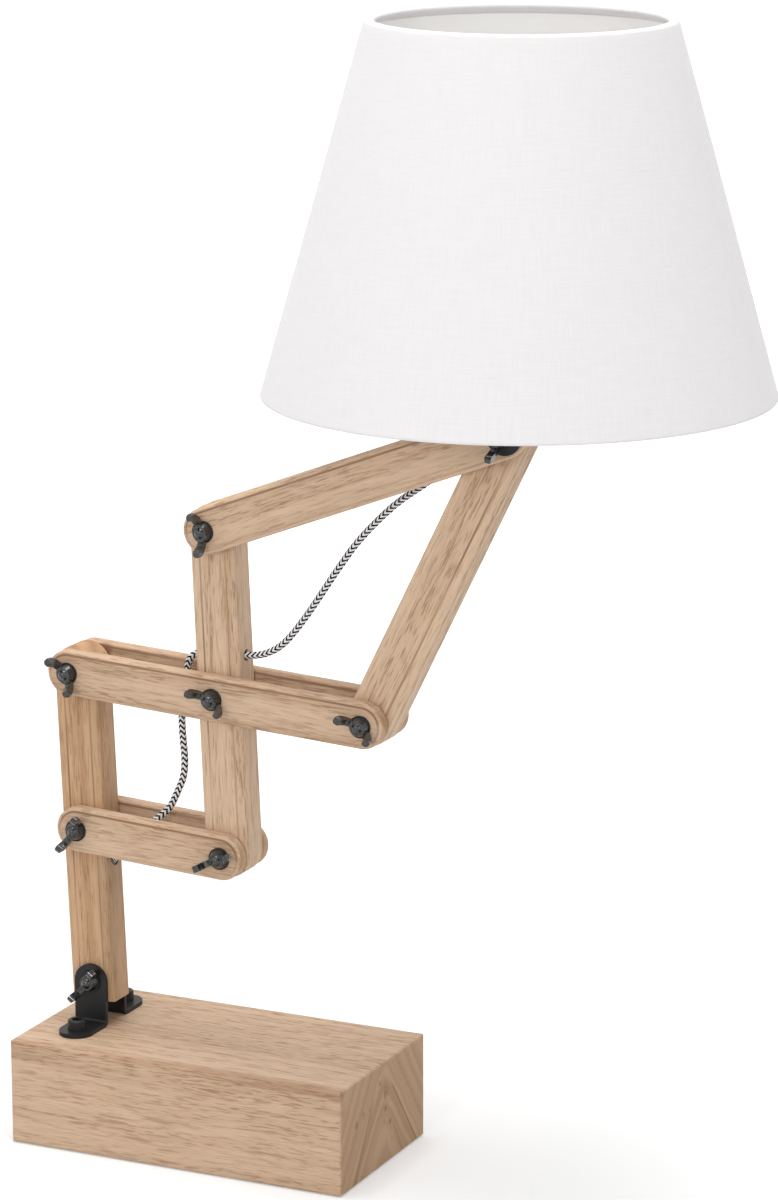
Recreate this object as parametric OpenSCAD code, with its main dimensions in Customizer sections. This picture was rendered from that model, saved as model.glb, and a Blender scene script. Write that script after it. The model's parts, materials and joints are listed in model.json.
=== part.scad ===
// Wooden table lamp: a block base, a clamped scissor arm of posts and paired links, and a conical shade.

/* [Base] */
// Length of the wooden block
base_l = 208; // [170:1:250]
// Depth of the wooden block
base_d = 109; // [96:1:140]
// Height of the wooden block
base_h = 61; // [45:1:80]
// Rounding of the block's edges
base_round = 1.75; // [0.5:0.25:4]
// Thickness of the felt sheet, most of it let into the block
felt_t = 1.5; // [1:0.5:3]

/* [Brackets] */
// Width of the steel strip
strip_w = 20; // [16:1:26]
// Thickness of the steel strip
strip_t = 2.5; // [2:0.25:4]
// Height of the tilt bolt above the block
pivot_h = 26; // [22:0.5:34]
// Distance of the tilt bolt from the end of the block
pivot_inset = 29; // [20:1:64]
// Reach of each foot from its leg to its screw
foot_reach = 16.5; // [15:0.5:22]

/* [Arm] */
// Hole pitch of the lower post and the paired links
pitch = 91; // [80:0.5:110]
// Hole pitch of the middle post above the cross links
upper_pitch = 94.5; // [84:0.5:110]
// Hole distance of the head arm
head_arm_l = 187; // [175:0.5:215]
// Hole distance of the top links
top_link_l = 190; // [175:0.5:215]
// Width of the posts and of the head arm
post_w = 27; // [22:0.5:30]
// Depth of the posts and of the head arm
post_d = 19; // [18:0.5:24]
// Width of the paired links
link_w = 26; // [22:0.5:30]
// Thickness of the paired links
link_t = 8.5; // [7:0.5:12]
// Edge rounding of the wooden bars
bar_round = 1.75; // [1:0.25:2.5]
// Distance of the routed shoulder from the edge of a post
post_shoulder = 5.8; // [3:0.2:7]
// Distance of the routed shoulder from the edge of a link
link_shoulder = 2.4; // [2:0.2:5]
// Height of the routed shoulders
shoulder_h = 0.35; // [0.2:0.05:0.6]
// Angle of the posts from the floor
post_angle = 92.4; // [84:0.2:100]
// Angle of the lower and cross links from the floor
link_angle = -3.2; // [-14:0.2:10]

/* [Hardware] */
// Diameter of the pivot bolts
bolt_d = 6; // [5:0.5:8]
// Span of a wing nut over its wings
nut_span = 25; // [22:0.5:30]

/* [Head] */
// Height of the shade's lower rim over the head bolt
shade_rise = 19.5; // [14:0.5:40]
// Height of the shade
shade_h = 198; // [185:0.5:230]
// Radius of the lower rim
shade_r_low = 137; // [115:0.5:160]
// Radius of the upper rim
shade_r_top = 81.5; // [70:0.5:110]
// Offset of the lamp holder from the head bolt
head_off = 2.5; // [0:0.5:3]
// Diameter of the bulb
bulb_d = 60; // [45:1:80]

/* [Cord] */
// Diameter of the braided cord
cord_d = 4; // [3.5:0.1:4.4]
// Diameter of the cord's holes in the posts
cord_hole_d = 6.5; // [5.5:0.25:8]
// Length of the tapered strain reliefs
relief_l = 20; // [20:1:30]

/* [Hidden] */
$fn = 48;
layer_gap = 0.2;
run_clear = 0.08;
washer_t = 1.2;
washer_d = 12.5;
hole_d = bolt_d + 2 * run_clear;
felt_proud = 0.4;
base_top = felt_proud + base_h;
pivot_x = pivot_inset - base_l / 2;
cut_l = 100;
post_tail = 12;
washer_hole = bolt_d + 0.4;

// Pivots, numbered from the base to the head
function ray(a) = [cos(a), 0, sin(a)];
post_dir = ray(post_angle);
post_side = ray(post_angle - 90);
link_dir = ray(link_angle);
p_base = [pivot_x, 0, base_top + pivot_h];
p_low_l = p_base + pitch * post_dir;
p_cross_l = p_low_l + pitch * post_dir;
p_low_r = p_low_l + pitch * link_dir;
p_cross_m = p_cross_l + pitch * link_dir;
p_cross_r = p_cross_m + pitch * link_dir;
p_top_l = p_cross_m + upper_pitch * post_dir;
reach = p_cross_r - p_top_l;
reach_l = norm(reach);
reach_u = reach / reach_l;
reach_n = [-reach_u[2], 0, reach_u[0]];
reach_x = (top_link_l * top_link_l - head_arm_l * head_arm_l + reach_l * reach_l) / (2 * reach_l);
reach_h = sqrt(top_link_l * top_link_l - reach_x * reach_x);
p_head = p_top_l + reach_x * reach_u + reach_h * reach_n;
function slope(a, b) = atan2(b[2] - a[2], b[0] - a[0]);
head_arm_angle = slope(p_cross_r, p_head);
top_link_angle = slope(p_top_l, p_head);
echo(p_base = p_base, p_low_l = p_low_l, p_cross_l = p_cross_l, p_low_r = p_low_r);
echo(p_cross_m = p_cross_m, p_cross_r = p_cross_r, p_top_l = p_top_l, p_head = p_head);

// Layers across the depth, from the middle plane outwards
post_face = post_d / 2;
link_in = post_face + layer_gap;
link_out = link_in + link_t;
strip_in = post_face + layer_gap;
strip_out = strip_in + strip_t;
strap_w = 20;
strap_t = 2;
strap_in = link_out + layer_gap;
strap_out = strap_in + strap_t;

// The opened pivot of the head arm
head_play = 1.55;
head_hole_d = bolt_d + 2 * head_play + 0.6;
head_hole_shift = [-0.4, 0, -1.3];

// Wing nuts: height, hub and the angle each one is left at
hub_d = 11;
hub_top_d = 8;
hub_h = 3.8;
dome_r = 3.4;
wing_t = 3.8;
nut_gap = 0.1;
nut_angles = [52, 60, -56, 24, -29, -31, -79, 84];

// Lamp head heights over the head bolt
strap_h = 22;
strap_bend = 3;
cap_low = strap_h + strap_t;
cap_top = cap_low + 26;
body_top = cap_top + 30;
collar_low = cap_top + 3;
collar_t = 3;
hub_low = collar_low + collar_t;
hub_t = 2;
ring_low = hub_low + hub_t;
ring_h = 8;
holder_d = 40;
thread_d = 39;
nipple_d = 10;
socket_d = 28.4;
entry_h = cap_low + 13;
entry_r = holder_d / 2 + relief_l;
entry_d = 11;
tip_d = 7;
cord_bore = cord_d + 0.5;
ledge_t = 1.5;
porcelain_h = 5;
contact_low = cap_top + ledge_t + porcelain_h;
contact_t = 1.6;
bulb_tip = 2;
bulb_low = contact_low + contact_t + bulb_tip;
bulb_cap_h = 25;
bulb_neck = bulb_low + bulb_cap_h;
bulb_mid = bulb_neck + 52;
neck_r = 14;
head_x = p_head[0] + head_off;
head_z = p_head[2];
rim_low = head_z + shade_rise;
rim_top = rim_low + shade_h;
fabric_t = 0.8;
lining_t = 0.5;
skin_gap = 0.1;
wire_d = 3;
spider_d = 4;
spider_hub_r = 30;
spider_root_r = 28.4;
function shade_r(h) = shade_r_low + (shade_r_top - shade_r_low) * h / shade_h;
skin_t = fabric_t + lining_t + 2 * skin_gap;
wire_low_r = shade_r(2) - skin_t - wire_d / 2 - 0.3;
wire_top_r = shade_r(shade_h) - skin_t - wire_d / 2 - 0.1;

// Table level parts behind the base
lie_z = cord_d / 2 + 1.1;
back_y = base_d / 2;
switch_l = 60;
switch_w = 24;
switch_h = 18;
switch_x0 = -60;
switch_y = back_y + 20;
switch_split = 7.5;
coil_x = switch_x0 + switch_l + relief_l + 18;
coil_turns = 3;
coil_step = cord_d + 1;
coil_r_in = 16.5;
coil_r_out = coil_r_in + coil_turns * coil_step;
coil_y = switch_y + coil_r_out;
plug_body_l = 24;
plug_l = plug_body_l + relief_l;
plug_h = 14;
plug_x = coil_x - 40;

// Cord path helpers
function lerp(a, b, t) = a + (b - a) * t;
function unit(v) = v / norm(v);
function spline(p, i, t) =
    let (n = len(p) - 1)
    let (a = p[max(i - 1, 0)], b = p[i], c = p[min(i + 1, n)], d = p[min(i + 2, n)])
    0.5 * (2 * b + (c - a) * t + (2 * a - 5 * b + 4 * c - d) * t * t + (3 * b - a - 3 * c + d) * t * t * t);
function smooth(p, k) = concat(
    [for (i = [0 : len(p) - 2]) for (j = [0 : k - 1]) spline(p, i, j / k)],
    [p[len(p) - 1]]
);
function heading(p, i) = unit(p[min(i + 1, len(p) - 1)] - p[max(i - 1, 0)]);
function square_to(v, t) = unit(v - (v * t) * t);
function sides(p, i, n) = i >= len(p) ? [] :
    let (m = square_to(n, heading(p, i)))
    concat([m], sides(p, i + 1, m));
function run_l(p, i = 1) = i >= len(p) ? 0 : norm(p[i] - p[i - 1]) + run_l(p, i + 1);

module tube(path, d, first, n) {
    s = sides(path, 0, first);
    rings = [
        for (i = [0 : len(path) - 1])
            let (t = heading(path, i), u = s[i], v = cross(t, u))
            for (j = [0 : n - 1]) path[i] + d / 2 * (cos(360 * j / n) * u + sin(360 * j / n) * v)
    ];
    last = len(path) - 1;
    faces = concat(
        [[for (j = [n - 1 : -1 : 0]) j]],
        [for (i = [0 : last - 1]) for (j = [0 : n - 1])
            [i * n + j, i * n + (j + 1) % n, (i + 1) * n + (j + 1) % n, (i + 1) * n + j]],
        [[for (j = [0 : n - 1]) last * n + j]]
    );
    polyhedron(rings, [for (f = faces) [for (k = [len(f) - 1 : -1 : 0]) f[k]]], convexity = 8);
}

// Cord routes, tied to the pivots and to the base
hole_rise = 22;
hole_drop = 20.5;
hole_fall = 9;
exit_in = 1.6;
hole_b = p_cross_m + hole_rise * post_dir;
hole_a = p_low_l - hole_drop * post_dir;
split_c = p_cross_m - 26.3 * link_dir - [0, 0, 8.7];
turn_c = split_c + [-10.7, 0, -64];
a_in = hole_a + (post_w / 2) * post_side;
a_out = hole_a + exit_in * post_side - hole_fall * post_dir + [0, post_face, 0];
function on_top(s, h) = p_top_l + s * ray(top_link_angle) + h * ray(top_link_angle + 90);
entry = [head_x - entry_r, 0, head_z + entry_h];
join_t = on_top(top_link_l - 56, -10);

// Directions in which neighbouring stretches of the cord meet
hole_dir = unit(a_out - a_in);
split_dir = unit([-2, 0, -11]);
join_dir = ray(top_link_angle + 36);
level_dir = [1, 0, 0];
function stretch(a, from, points, b, to) = concat(
    [a],
    smooth(concat([a + cord_d * from], points, [b - cord_d * to]), 2),
    [b]
);
path_head = stretch(join_t, join_dir, [
    on_top(top_link_l - 48, -3.5), on_top(top_link_l - 43.5, 6), entry + [-8, 0, -35],
    entry + [-12, 0, -24], entry + [-13, 0, -13], entry + [-11.3, 0, -6.5], entry + [-6.5, 0, -1.75]
], entry + cord_d * level_dir, level_dir);
path_upper = stretch(hole_b, post_side, [
    hole_b + 14 * post_side, hole_b + 25 * post_side + [0, 0, 1.5], hole_b + 37 * post_side + [0, 0, 8.5],
    hole_b + 51 * post_side + [0, 0, 25], hole_b + 70 * post_side + [0, 0, 52],
    hole_b + 84 * post_side + [0, 0, 70],
    lerp(hole_b + 98 * post_side + [0, 0, 85], on_top(top_link_l - 76, -17), 0.5)
], join_t, join_dir);
path_mid = stretch(hole_b, -post_side, [
    hole_b - 13 * post_side, hole_b + [-18.2, 0, -1.9], hole_b + [-21.7, 0, -5.3],
    hole_b + [-23.3, 0, -10.6], hole_b + [-24.2, 0, -19.6]
], split_c, split_dir);
path_low = stretch(split_c, split_dir, [
    split_c + [-2, 0, -11], split_c + [-1.3, 0, -24], split_c + [-0.5, 0, -35], split_c + [-1.6, 0, -45],
    split_c + [-5.4, 0, -54], turn_c, lerp(turn_c, a_in, 0.25) - [0, 2.2, 0],
    lerp(turn_c, a_in, 0.5) - [0, 5, 0], a_in - 12 * hole_dir, a_in
], a_out, hole_dir);
path_lead = stretch(a_out, hole_dir, [
    a_out + [-10, 12.5, -10.5], [pivot_x - 17, 38, p_low_l[2] - 58],
    [pivot_x - 23, back_y + 3, p_base[2] + 2], [pivot_x - 26, back_y + 12, base_top - 8],
    [pivot_x - 26, back_y + 16, 29],
    [pivot_x - 22, back_y + 18, 14], [switch_x0 - relief_l - 9, switch_y, 8.2],
    [switch_x0 - relief_l, switch_y, switch_split], [switch_x0 - relief_l / 2, switch_y, switch_split]
], [switch_x0 + cord_d, switch_y, switch_split], level_dir);

// Coil: in on the lower layer, up in the half turn where it turns back, out on the upper layer
coil_n = 24;
coil_rings = coil_n * (2 * coil_turns) + coil_n / 2;
function coil_r(k) = k <= coil_n * coil_turns ? coil_r_out - coil_step * k / coil_n :
    k <= coil_n * coil_turns + coil_n / 2 ? coil_r_in :
    coil_r_in + coil_step * (k - coil_n * coil_turns - coil_n / 2) / coil_n;
function coil_z(k) = lie_z + coil_step * min(1, max(0, (k - coil_n * coil_turns) / (coil_n / 2)));
coil_loops = [for (k = [0 : coil_rings]) [
    coil_x + coil_r(k) * cos(-90 + 360 * k / coil_n),
    coil_y + coil_r(k) * sin(-90 + 360 * k / coil_n),
    coil_z(k)
]];
coil_end = coil_loops[coil_rings];
switch_end = [switch_x0 + switch_l, switch_y, switch_split];
drop_z = lie_z - switch_split;
path_coil = concat(
    [switch_end - [cord_d, 0, 0], switch_end, switch_end + [relief_l, 0, 0]],
    [switch_end + [relief_l + 6, 0, 0.3 * drop_z], switch_end + [relief_l + 12, 0, 0.9 * drop_z]],
    coil_loops,
    [coil_end - [10, 0, 0], coil_end - [20, 0, 0.6], [plug_x + 6, coil_end[1], plug_h / 2]],
    [[plug_x, coil_end[1], plug_h / 2], [plug_x - cord_d, coil_end[1], plug_h / 2]]
);
coil_gap = min([
    for (i = [0 : coil_rings - coil_n / 2 - 2])
        min([for (j = [i + coil_n / 2 + 2 : coil_rings]) norm(coil_loops[i] - coil_loops[j])])
]) - cord_d;
echo(coil_gap = coil_gap, coil_l = run_l(path_coil), lead_l = run_l(path_lead), low_l = run_l(path_low));
echo(mid_l = run_l(path_mid), upper_l = run_l(path_upper), head_l = run_l(path_head));

wood = [0.80, 0.66, 0.50];
wood_b = [0.76, 0.61, 0.45];
black = [0.09, 0.09, 0.10];
brass = [0.78, 0.62, 0.30];
white = [0.95, 0.95, 0.94];
braid = [0.42, 0.42, 0.43];

// A rectangle with rounded corners, centred
module soft_rect(w, h, r) {
    square([w - 2 * r, h], center = true);
    square([w, h - 2 * r], center = true);
    for (x = [-1, 1])
        for (y = [-1, 1])
            translate([x * (w / 2 - r), y * (h / 2 - r)])
                circle(r);
}

// Section of a wooden bar: rounded edges, and two faces that stand up behind a routed shoulder
module bar_section(w, t, shoulder) {
    soft_rect(w, t - 2 * shoulder_h, bar_round);
    square([w - 2 * shoulder, t], center = true);
}

// Half a round end of a bar, turned about the pivot
module round_end(w, t, shoulder) {
    rotate([90, 0, 0])
        rotate([0, 0, -90])
            rotate_extrude(angle = 180)
                intersection() {
                    bar_section(w, t, shoulder);
                    translate([0, -t])
                        square([w, 2 * t]);
                }
}

// A wooden bar from its first hole to its last, lying along X with its depth along Y
module bar(l, w, t, shoulder, tail = 0) {
    translate([-tail, 0, 0])
        rotate([90, 0, 90])
            linear_extrude(l + tail)
                rotate([0, 0, 90])
                    bar_section(w, t, shoulder);
    translate([l, 0, 0])
        round_end(w, t, shoulder);
    if (tail == 0)
        mirror([1, 0, 0])
            round_end(w, t, shoulder);
}

// A hole through the depth of a bar
module cross_hole(x, d, z = 0) {
    translate([x, 0, z])
        rotate([90, 0, 0])
            cylinder(d = d, h = cut_l, center = true);
}

module at(p, a) {
    translate(p)
        rotate([0, -a, 0])
            children();
}

// Where the two bracket screws stand
screw_y = strip_out + foot_reach;
insert_d = 9;
insert_h = 13;
screw_l = 16;

felt_margin = 9;

// The felt sheet, or with room round it the recess that it lies in
module felt_slab(room) {
    edge = 2 * (room - felt_margin);
    translate([0, 0, felt_t / 2])
        cube([base_l + edge, base_d + edge, felt_t], center = true);
}

module base_block() {
    color(wood)
        difference() {
            translate([0, 0, felt_proud + base_h / 2])
                intersection() {
                    linear_extrude(base_h + 1, center = true)
                        soft_rect(base_l, base_d, base_round);
                    rotate([90, 0, 0])
                        linear_extrude(base_d + 1, center = true)
                            soft_rect(base_l, base_h, base_round);
                    rotate([90, 0, 90])
                        linear_extrude(base_l + 1, center = true)
                            soft_rect(base_d, base_h, base_round);
                }
            felt_slab(0.5);
            for (s = [-1, 1])
                translate([pivot_x, s * screw_y, base_top - insert_h - 6])
                    cylinder(d = insert_d + 0.2, h = insert_h + 10);
        }
}

module base_felt() {
    color([0.16, 0.15, 0.14])
        felt_slab(0);
}

module base_inserts() {
    color(brass)
        for (s = [-1, 1])
            translate([pivot_x, s * screw_y, base_top - insert_h - 0.5])
                difference() {
                    cylinder(d = insert_d, h = insert_h);
                    translate([0, 0, -1])
                        cylinder(d = bolt_d + 0.2, h = insert_h + 2);
                }
}

// An L bracket with both ends round; its leg faces the post at Y = 0
module bracket() {
    ri = 1.5;
    ro = ri + strip_t;
    difference() {
        union() {
            translate([0, 0, ro])
                rotate([90, 0, 0])
                    linear_extrude(strip_t) {
                        translate([-strip_w / 2, 0])
                            square([strip_w, pivot_h - ro]);
                        translate([0, pivot_h - ro])
                            circle(d = strip_w);
                    }
            translate([-strip_w / 2, -ro, ro])
                rotate([90, 90, 90])
                    rotate_extrude(angle = 90)
                        translate([ri, 0])
                            square([strip_t, strip_w]);
            linear_extrude(strip_t) {
                translate([-strip_w / 2, -strip_t - foot_reach])
                    square([strip_w, strip_t + foot_reach - ro]);
                translate([0, -strip_t - foot_reach])
                    circle(d = strip_w);
            }
        }
        translate([0, 0, pivot_h])
            rotate([90, 0, 0])
                cylinder(d = hole_d, h = 20, center = true);
        translate([0, -strip_t - foot_reach, -1])
            cylinder(d = bolt_d + 0.4, h = strip_t + 2);
    }
}

module bracket_front() {
    color(black)
        translate([pivot_x, -strip_in, base_top])
            bracket();
}

module bracket_rear() {
    color(black)
        mirror([0, 1, 0])
            translate([pivot_x, -strip_in, base_top])
                bracket();
}

// Socket head screw standing on Z = 0
module socket_screw(l) {
    head_d = 10;
    head_h = 6;
    bevel = 0.6;
    key_d = 5.8;
    difference() {
        union() {
            translate([0, 0, -l])
                cylinder(d = bolt_d, h = l);
            cylinder(d = head_d, h = head_h - bevel);
            translate([0, 0, head_h - bevel])
                cylinder(d1 = head_d, d2 = head_d - 2 * bevel, h = bevel);
        }
        translate([0, 0, head_h / 2])
            cylinder(d = key_d, h = head_h, $fn = 6);
    }
}

module bracket_screws() {
    color(black)
        for (s = [-1, 1])
            translate([pivot_x, s * screw_y, base_top + strip_t])
                socket_screw(screw_l);
}

// A pivot bolt: round end to the front, button head to the rear
module pivot_bolt(front, rear) {
    tip = front + washer_t + nut_gap + hub_h;
    dome_y = tip - sqrt(dome_r * dome_r - bolt_d * bolt_d / 4);
    head_y = rear + washer_t;
    head_d = 10.5;
    head_h = 3.4;
    head_r = 5.75;
    key_d = 4.6;
    rotate([90, 0, 0]) {
        translate([0, 0, -head_y])
            cylinder(d = bolt_d, h = head_y + tip);
        intersection() {
            translate([0, 0, tip])
                cylinder(d = bolt_d, h = bolt_d);
            translate([0, 0, dome_y])
                sphere(r = dome_r);
        }
        difference() {
            intersection() {
                translate([0, 0, -head_y - head_h])
                    cylinder(d = head_d, h = head_h);
                translate([0, 0, head_r - head_h - head_y - 0.15])
                    sphere(r = head_r);
            }
            translate([0, 0, -head_y - head_h - 0.6])
                cylinder(d = key_d, h = 2.4, $fn = 6);
        }
    }
}

module washer_pair(front, rear) {
    rotate([90, 0, 0])
        for (z = [front, -rear - washer_t])
            translate([0, 0, z])
                difference() {
                    cylinder(d = washer_d, h = washer_t);
                    translate([0, 0, -1])
                        cylinder(d = washer_hole, h = washer_t + 2);
                }
}

module base_bolt() {
    color(black)
        translate(p_base)
            pivot_bolt(strip_out, strip_out);
}

module base_washers() {
    color(black)
        translate(p_base)
            washer_pair(strip_out, strip_out);
}

// One wing of a wing nut, standing on Z = 0 and reaching along X, with a round end in both views
module wing() {
    k = nut_span / 25;
    end = nut_span / 2 - wing_t / 2;
    intersection() {
        rotate([90, 0, 0])
            linear_extrude(2 * wing_t, center = true) {
                polygon([
                    [3.4, 0.6], [5.6 * k, 0.7], [8.6 * k, 2.6], [12.3 * k, 7.6],
                    [8.3 * k, 9.9], [6.6 * k, 5.4], [4.8, 3.4], [3.4, 3.4]
                ]);
                translate([10.2 * k, 8.9])
                    circle(2.3 * k);
            }
        linear_extrude(nut_span) {
            translate([0, -wing_t / 2])
                square([end, wing_t]);
            translate([end, 0])
                circle(d = wing_t);
        }
    }
}

module wing_nut(i) {
    rotate([90, 0, 0])
        rotate([0, 0, nut_angles[i]])
            difference() {
                union() {
                    cylinder(d1 = hub_d, d2 = hub_top_d, h = hub_h);
                    wing();
                    mirror([1, 0, 0])
                        wing();
                }
                translate([0, 0, -1])
                    cylinder(d = hole_d, h = hub_h + 12);
            }
}

module nut_at(p, i, front) {
    color(black)
        translate(p - [0, front + washer_t + nut_gap, 0])
            wing_nut(i);
}

module nut_base() {
    nut_at(p_base, 0, strip_out);
}

module nut_low_left() {
    nut_at(p_low_l, 1, link_out);
}

module nut_cross_left() {
    nut_at(p_cross_l, 2, link_out);
}

module nut_low_right() {
    nut_at(p_low_r, 3, link_out);
}

module nut_cross_mid() {
    nut_at(p_cross_m, 4, link_out);
}

module nut_cross_right() {
    nut_at(p_cross_r, 5, link_out);
}

module nut_top_left() {
    nut_at(p_top_l, 6, link_out);
}

module nut_head() {
    nut_at(p_head, 7, strap_out);
}

// The cord's slanting hole in the lower post, from its right side down to its back
module slant_hole() {
    v = [-hole_fall, post_face, post_w / 2 - exit_in];
    spare = 20;
    translate([pitch - hole_drop, 0, -post_w / 2])
        rotate([-asin(v[1] / norm(v)), atan2(v[0], v[2]), 0])
            translate([0, 0, -spare])
                cylinder(d = cord_hole_d, h = norm(v) + 2 * spare);
}

module lower_post() {
    color(wood_b)
        at(p_base, post_angle)
            difference() {
                bar(2 * pitch, post_w, post_d, post_shoulder, post_tail);
                for (x = [0, pitch, 2 * pitch])
                    cross_hole(x, hole_d);
                slant_hole();
            }
}

module middle_post() {
    color(wood_b)
        at(p_low_r, post_angle)
            difference() {
                bar(pitch + upper_pitch, post_w, post_d, post_shoulder);
                for (x = [0, pitch, pitch + upper_pitch])
                    cross_hole(x, hole_d);
                translate([pitch + hole_rise, 0, 0])
                    cylinder(d = cord_hole_d, h = 2 * post_w, center = true);
            }
}

module head_arm() {
    color(wood_b)
        at(p_cross_r, head_arm_angle)
            difference() {
                bar(head_arm_l, post_w, post_d, post_shoulder);
                cross_hole(0, hole_d);
                cross_hole(head_arm_l + head_hole_shift[0], head_hole_d, head_hole_shift[2]);
            }
}

// One flat link of a pair; side -1 is the front one
module link(p, a, holes, side) {
    color(wood)
        translate([0, side * (link_in + link_t / 2), 0])
            at(p, a)
                difference() {
                    bar(holes[len(holes) - 1], link_w, link_t, link_shoulder);
                    for (x = holes)
                        cross_hole(x, hole_d);
                }
}

module lower_link_front() {
    link(p_low_l, link_angle, [0, pitch], -1);
}

module lower_link_rear() {
    link(p_low_l, link_angle, [0, pitch], 1);
}

module cross_link_front() {
    link(p_cross_l, link_angle, [0, pitch, 2 * pitch], -1);
}

module cross_link_rear() {
    link(p_cross_l, link_angle, [0, pitch, 2 * pitch], 1);
}

module top_link_front() {
    link(p_top_l, top_link_angle, [0, top_link_l], -1);
}

module top_link_rear() {
    link(p_top_l, top_link_angle, [0, top_link_l], 1);
}

module lower_link_bolts() {
    color(black)
        for (p = [p_low_l, p_low_r])
            translate(p)
                pivot_bolt(link_out, link_out);
}

module lower_link_washers() {
    color(black)
        for (p = [p_low_l, p_low_r])
            translate(p)
                washer_pair(link_out, link_out);
}

module cross_link_bolts() {
    color(black)
        for (p = [p_cross_l, p_cross_m, p_cross_r])
            translate(p)
                pivot_bolt(link_out, link_out);
}

module cross_link_washers() {
    color(black)
        for (p = [p_cross_l, p_cross_m, p_cross_r])
            translate(p)
                washer_pair(link_out, link_out);
}

module top_link_bolts() {
    color(black) {
        translate(p_top_l)
            pivot_bolt(link_out, link_out);
        translate(p_head)
            pivot_bolt(strap_out, strap_out);
    }
}

module top_link_washers() {
    color(black) {
        translate(p_top_l)
            washer_pair(link_out, link_out);
        translate(p_head)
            washer_pair(strap_out, strap_out);
    }
}

// Everything on the lamp head stands on the holder's axis, close to the head bolt
module on_head(h = 0) {
    translate([head_x, 0, head_z + h])
        children();
}

module strap_leg() {
    translate([0, -strap_in, 0])
        rotate([90, 0, 0])
            linear_extrude(strap_t) {
                circle(d = strap_w);
                translate([-strap_w / 2, 0])
                    square([strap_w, strap_h - strap_bend]);
            }
    translate([-strap_w / 2, -strap_in + strap_bend, strap_h - strap_bend])
        rotate([90, 0, 90])
            rotate([0, 0, 90])
                rotate_extrude(angle = 90)
                    translate([strap_bend, 0])
                        square([strap_t, strap_w]);
}

module stirrup() {
    color(black)
        on_head()
            difference() {
                union() {
                    strap_leg();
                    mirror([0, 1, 0])
                        strap_leg();
                    translate([0, 0, strap_h + strap_t / 2])
                        cube([strap_w, 2 * (strap_in - strap_bend), strap_t], center = true);
                }
                cross_hole(-head_off, hole_d);
                cylinder(d = nipple_d + 0.2, h = 2 * strap_h);
            }
}

module nipple() {
    color(brass)
        on_head(strap_h - 5)
            difference() {
                cylinder(d = nipple_d, h = 16);
                translate([0, 0, -1])
                    cylinder(d = 7, h = 20);
            }
}

module nipple_nut() {
    color(brass)
        on_head(strap_h - 4)
            difference() {
                cylinder(d = 13.5, h = 4, $fn = 6);
                translate([0, 0, -1])
                    cylinder(d = nipple_d + 0.2, h = 6);
            }
}

// A turned ring or cup from its outline, given as radius and height pairs
module turned(points) {
    rotate_extrude()
        polygon(points);
}

module holder_cap() {
    r = holder_d / 2;
    eye = nipple_d / 2 + 0.1;
    h = cap_top - cap_low;
    color(black)
        on_head(cap_low)
            difference() {
                union() {
                    turned([
                        [eye, 0], [r - 4, 0], [r, 5], [r, h],
                        [r - 2, h], [r - 2, 6], [r - 4.5, 3], [eye, 3]
                    ]);
                    translate([-r + 1.4, 0, entry_h - cap_low])
                        rotate([0, -90, 0])
                            cylinder(d1 = entry_d, d2 = tip_d, h = relief_l + 1.4);
                }
                translate([-r + 4, 0, entry_h - cap_low])
                    rotate([0, -90, 0])
                        cylinder(d = cord_bore, h = relief_l + 8);
            }
}

module holder_body() {
    r = thread_d / 2;
    bore = 15.6;
    eye = bore - 2.6;
    h = body_top - cap_top;
    low = collar_low - cap_top;
    high = low + collar_t;
    color(black)
        on_head(cap_top)
            turned([
                [eye, 0], [r, 0], [r, low], [r + 4.5, low], [r + 4.5, high],
                [r, high], [r, h], [bore, h], [bore, ledge_t], [eye, ledge_t]
            ]);
}

module holder_ring() {
    r = thread_d / 2 + 0.2;
    color(black)
        on_head(ring_low)
            turned([[r, 0], [r + 7.5, 0], [r + 7.5, 2.5], [r + 3, 3.5], [r + 3, ring_h], [r, ring_h]]);
}

module holder_insert() {
    color(white)
        on_head(cap_top + ledge_t)
            difference() {
                cylinder(d = 30.8, h = porcelain_h);
                for (s = [-1, 1])
                    translate([0, 9 * s, -1])
                        cylinder(d = 3, h = porcelain_h + 2);
            }
}

module holder_contacts() {
    color(brass)
        on_head(contact_low) {
            difference() {
                cylinder(d = socket_d + 1.4, h = 22);
                translate([0, 0, 1])
                    cylinder(d = socket_d, h = 22);
                translate([0, 0, -1])
                    cylinder(d = 16, h = 4);
            }
            translate([-5, -3, 0])
                cube([10, 6, contact_t]);
        }
}

module bulb_cap() {
    wall = 0.8;
    shoulder = 3;
    color(brass)
        on_head(bulb_low)
            difference() {
                union() {
                    translate([0, 0, -bulb_tip])
                        cylinder(d = 10, h = bulb_tip);
                    cylinder(d1 = 18, d2 = 26, h = shoulder);
                    translate([0, 0, shoulder])
                        cylinder(d = 26, h = bulb_cap_h - shoulder);
                }
                translate([0, 0, shoulder])
                    cylinder(d = 26 - 2 * wall, h = bulb_cap_h);
            }
}

// Glass bulb: a ball on a tapering neck
module bulb_skin(inset) {
    r = bulb_d / 2 - inset;
    rise = bulb_mid - bulb_neck;
    tilt = acos((bulb_d / 2 - neck_r) / rise);
    translate([0, 0, rise])
        sphere(r = r);
    cylinder(r1 = neck_r - inset, r2 = r * sin(tilt), h = rise - r * cos(tilt));
}

module bulb_globe() {
    color([0.97, 0.96, 0.92])
        on_head(bulb_neck)
            difference() {
                bulb_skin(0);
                bulb_skin(1.2);
            }
}

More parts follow.
